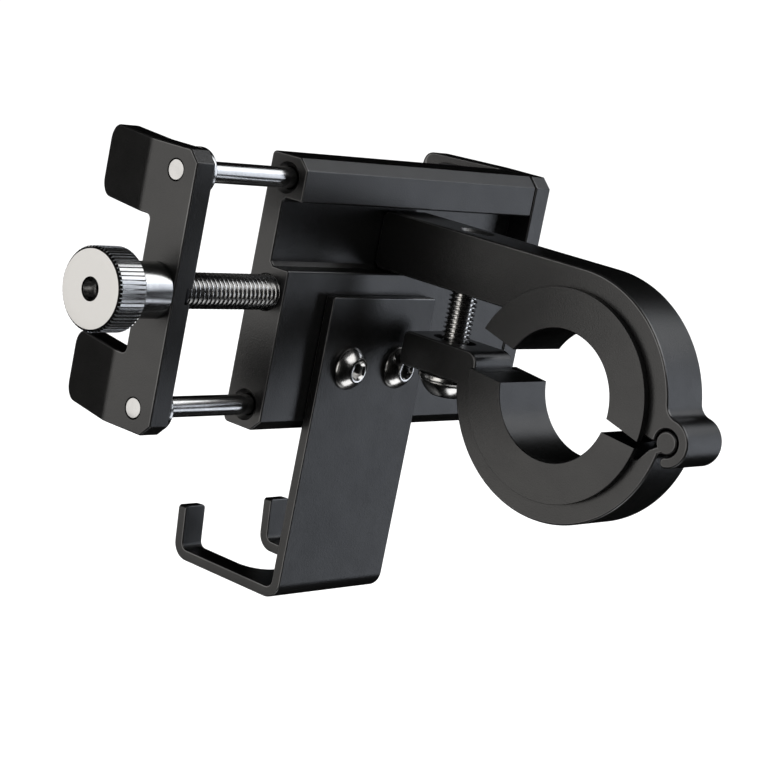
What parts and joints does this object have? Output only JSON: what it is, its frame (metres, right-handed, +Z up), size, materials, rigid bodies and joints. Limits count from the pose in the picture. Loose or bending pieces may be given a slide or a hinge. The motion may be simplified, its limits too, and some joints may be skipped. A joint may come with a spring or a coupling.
{
  "type": "phone handlebar mount",
  "caption": "Handlebar phone mount: a screw-driven sliding jaw grips a phone against a fixed jaw above a hooked support tray, all carried by a hinged bolt clamp.",
  "frame": {"origin": "centre of the handlebar bore, on the middle of the clamp's width", "axes": "+X along the handlebar towards the fixed jaw (the knob is on the -X side), +Y from the handlebar towards the phone, +Z up along the phone, away from the support tray"},
  "size_m": [0.1075, 0.0912, 0.0772],
  "materials": {
    "black_anodised_aluminium": "satin black anodised, with bright bare edges where worn",
    "polished_steel": "polished stainless",
    "black_steel": "black oxide",
    "black_rubber": "matt"
  },
  "bodies": {
    "cradle": {"clamp_arm_upper": "black_anodised_aluminium", "reducer_upper": "black_anodised_aluminium", "cradle_block": "black_anodised_aluminium", "arm_screw": "black_steel", "face_pad": "black_rubber", "right_jaw": "black_anodised_aluminium", "right_pad_upper": "black_rubber", "right_pad_lower": "black_rubber", "right_jaw_screw_upper": "black_steel", "right_jaw_screw_lower": "black_steel", "support_tray": "black_anodised_aluminium", "tray_screw_left": "polished_steel", "tray_screw_right": "polished_steel"},
    "sliding_jaw": {"left_jaw": "black_anodised_aluminium", "left_pad_upper": "black_rubber", "left_pad_lower": "black_rubber", "guide_rod_upper": "polished_steel", "guide_rod_lower": "polished_steel", "rod_collar_upper": "polished_steel", "rod_collar_lower": "polished_steel"},
    "knob_and_lead_screw": {"thumb_knob": "polished_steel", "lead_screw": "polished_steel", "screw_retaining_ring": "black_steel"},
    "lower_clamp_half": {"clamp_jaw_lower": "black_anodised_aluminium", "reducer_lower": "black_anodised_aluminium"},
    "bolt_washer": {"clamp_washer": "polished_steel"},
    "bolt": {"clamp_bolt": "polished_steel"}
  },
  "joints": [
    {"name": "jaw_slide", "type": "slide", "parent": "cradle", "child": "sliding_jaw", "axis": [1, 0, 0], "range_m": [-0.016, 0.0205]},
    {"name": "knob_spin", "type": "hinge", "parent": "sliding_jaw", "child": "knob_and_lead_screw", "pos_m": [-0.05775, 0.0442, 0.00625], "axis": [1, 0, 0], "range_deg": [-5762, 7382]},
    {"name": "clamp_hinge", "type": "hinge", "parent": "cradle", "child": "lower_clamp_half", "pos_m": [0, -0.0223, -0.0017], "axis": [-1, 0, 0], "range_deg": [0, 7]},
    {"name": "washer_slide", "type": "slide", "parent": "cradle", "child": "bolt_washer", "axis": [0, 0, -1], "range_m": [0, 0.00664]},
    {"name": "bolt_spin", "type": "hinge", "parent": "bolt_washer", "child": "bolt", "pos_m": [0, 0.0272, -0.0049], "axis": [0, 0, -1], "range_deg": [0, 2990]}
  ],
  "couplings": [
    {"joint": "knob_spin", "follows": "jaw_slide", "rad_per_m": 6283.2},
    {"joint": "bolt_spin", "follows": "washer_slide", "rad_per_m": 7854},
    {"joint": "clamp_hinge", "follows": "washer_slide", "rad_per_m": 18.349}
  ]
}
